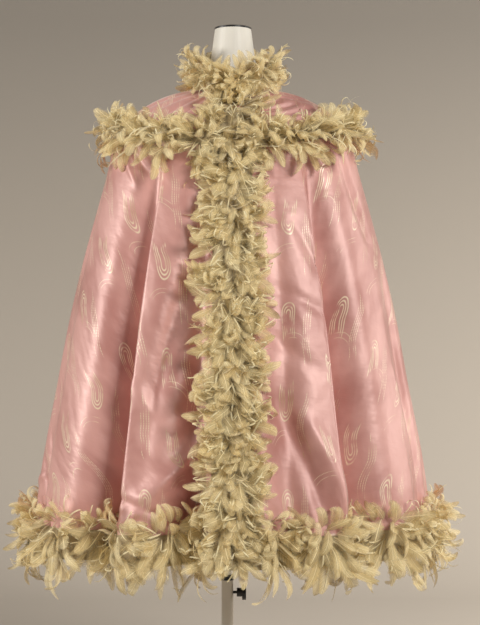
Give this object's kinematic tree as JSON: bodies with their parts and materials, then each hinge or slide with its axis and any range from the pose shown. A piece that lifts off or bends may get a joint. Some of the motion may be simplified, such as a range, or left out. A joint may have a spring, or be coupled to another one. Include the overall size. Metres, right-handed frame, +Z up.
{
  "type": "opera cape on a dress form",
  "caption": "Long silk cape with a yoke, hanging folds and curled-feather edges, worn on a limbless dress form with a clamped pole and a round base.",
  "frame": {"origin": "centre of the base plate's underside, on the floor and on the pole's axis", "axes": "+Z up along the pole, -Y the way the wearer faces, +X to the wearer's left"},
  "size_m": [0.9386, 0.7745, 1.5],
  "materials": {
    "silk": "pink figured silk satin with a cream and gold figure",
    "feather": "cream curled feathers with downy edges",
    "form_cover": "white painted composition, faintly satin",
    "black_plastic": "black moulded plastic",
    "painted_steel": "beige-grey semi-gloss paint on steel",
    "rod_steel": "brushed steel"
  },
  "bodies": {
    "base": {"base_plate": "painted_steel", "base_socket": "painted_steel", "pole_tube": "painted_steel", "tube_collar": "black_plastic"},
    "knob": {"clamp_knob": "black_plastic"},
    "form": {"inner_rod": "rod_steel", "form_flange": "black_plastic", "dress_form": "form_cover", "neck_cap": "black_plastic", "yoke_front_left": "silk", "yoke_front_right": "silk", "yoke_back": "silk", "collar": "silk", "body_front_left": "silk", "body_front_right": "silk", "body_back": "silk", "collar_feathers": "feather", "shoulder_feathers": "feather", "front_feathers_left": "feather", "front_feathers_right": "feather", "hem_feathers": "feather"}
  },
  "joints": [
    {"name": "form_height", "type": "slide", "parent": "base", "child": "form", "axis": [0, 0, 1], "range_m": [-0.14, 0.05]},
    {"name": "clamp_turn", "type": "hinge", "parent": "base", "child": "knob", "pos_m": [0.02, 0, 0.2865], "axis": [1, 0, 0], "continuous": true}
  ]
}
